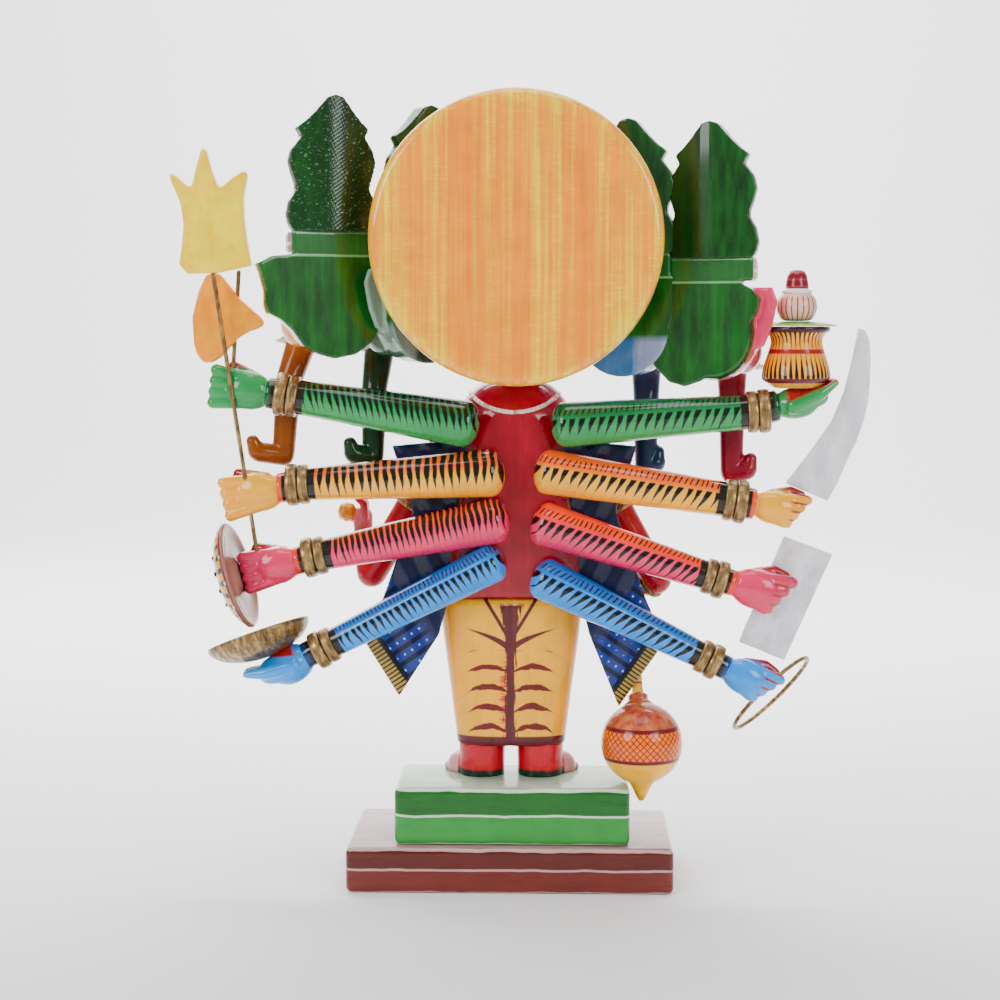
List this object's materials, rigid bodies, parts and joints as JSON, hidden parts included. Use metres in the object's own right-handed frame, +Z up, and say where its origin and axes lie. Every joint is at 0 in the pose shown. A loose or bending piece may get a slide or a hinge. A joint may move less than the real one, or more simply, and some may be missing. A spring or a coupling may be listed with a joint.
{
  "type": "elephant deity statuette",
  "caption": "Painted wooden statuette of a many-headed, many-armed elephant deity on a stepped base, with a round halo board behind the heads.",
  "frame": {"origin": "centre of the underside of the base slab", "axes": "+Z up through the crowns, the figure faces -Y, +X is the figure's left hand side"},
  "size_m": [0.2629, 0.0743, 0.3006],
  "materials": {
    "base_brown": "hand-painted maroon brown lacquer on wood",
    "base_green": "hand-painted green lacquer bands on wood",
    "ankle_red": "red lacquer on wood",
    "dhoti_yellow": "yellow lacquer with brushed maroon folds",
    "torso_crimson": "crimson lacquer on wood",
    "garland_white": "white brushed band",
    "head_red": "red lacquer face",
    "head_green": "dark green lacquer face",
    "head_blue": "blue lacquer face",
    "head_orange": "orange lacquer face",
    "head_pink": "pink lacquer face",
    "trunk_blue": "dark blue lacquer",
    "trunk_orange": "orange brown lacquer",
    "trunk_pink": "dark pink lacquer",
    "crown_gold": "gold painted wood",
    "crown_green": "dark green lacquer, rough brushed",
    "ivory_paint": "ivory paint",
    "raw_wood": "unpainted wood",
    "halo_orange": "yellow and orange vertical brush strokes under clear lacquer",
    "arm_green": "green lacquer with black wedge strokes",
    "arm_yellow": "yellow lacquer with black wedge strokes",
    "arm_pink": "pink lacquer with black wedge strokes",
    "arm_blue": "blue lacquer with black wedge strokes",
    "front_arm_red": "red lacquer",
    "antique_bronze": "antique bronze paint with worn highlights",
    "nail_steel": "steel wire nails",
    "scarf_navy": "navy lacquer with gold border",
    "trident_yellow": "yellow lacquer",
    "bronze_wire": null,
    "axe_orange": "orange yellow lacquer",
    "shield_paint": "brown back, yellow front with black strokes",
    "pot_paint": "yellow with maroon stripes",
    "leaf_green": "green lacquer",
    "coconut_paint": "pink cream with maroon strokes",
    "silver_paint": "silvery white paint",
    "mace_copper": "copper orange with a brushed net",
    "mace_yellow": "yellow lacquer",
    "sweet_orange": "orange yellow lacquer"
  },
  "bodies": {
    "root": {"base_slab": "base_brown", "base_step": "base_green", "foot_left": "ankle_red", "foot_right": "ankle_red", "legs": "dhoti_yellow", "torso": "torso_crimson", "garland": "garland_white", "head_centre": "head_red", "head_inner_left": "head_green", "head_inner_right": "head_blue", "head_outer_left": "head_orange", "head_outer_right": "head_pink", "trunk_centre": "head_red", "trunk_inner_left": "head_green", "trunk_inner_right": "trunk_blue", "trunk_outer_left": "trunk_orange", "trunk_outer_right": "trunk_pink", "crown_centre": "crown_gold", "crown_inner_left": "crown_green", "crown_inner_right": "crown_green", "crown_outer_left": "crown_green", "crown_outer_right": "crown_green", "tusks": "ivory_paint", "head_rail": "raw_wood", "halo_block": "raw_wood", "halo_disc": "halo_orange", "arm_green_left": "arm_green", "arm_yellow_left": "arm_yellow", "arm_pink_left": "arm_pink", "arm_blue_left": "arm_blue", "arm_green_right": "arm_green", "arm_yellow_right": "arm_yellow", "arm_pink_right": "arm_pink", "arm_blue_right": "arm_blue", "front_arm_left": "front_arm_red", "front_arm_right": "front_arm_red", "bangles": "antique_bronze", "arm_pegs": "torso_crimson", "body_dowels": "raw_wood", "base_nails": "nail_steel", "scarf_left": "scarf_navy", "scarf_right": "scarf_navy", "trident_head": "trident_yellow", "trident_shaft": "bronze_wire", "axe_head": "axe_orange", "axe_shaft": "bronze_wire", "shield": "shield_paint", "bowl": "antique_bronze", "pot": "pot_paint", "pot_leaves": "leaf_green", "coconut": "coconut_paint", "sword": "silver_paint", "book": "silver_paint", "noose": "bronze_wire", "mace_head": "mace_copper", "mace_shaft": "mace_yellow", "sweet": "sweet_orange"}
  },
  "joints": []
}
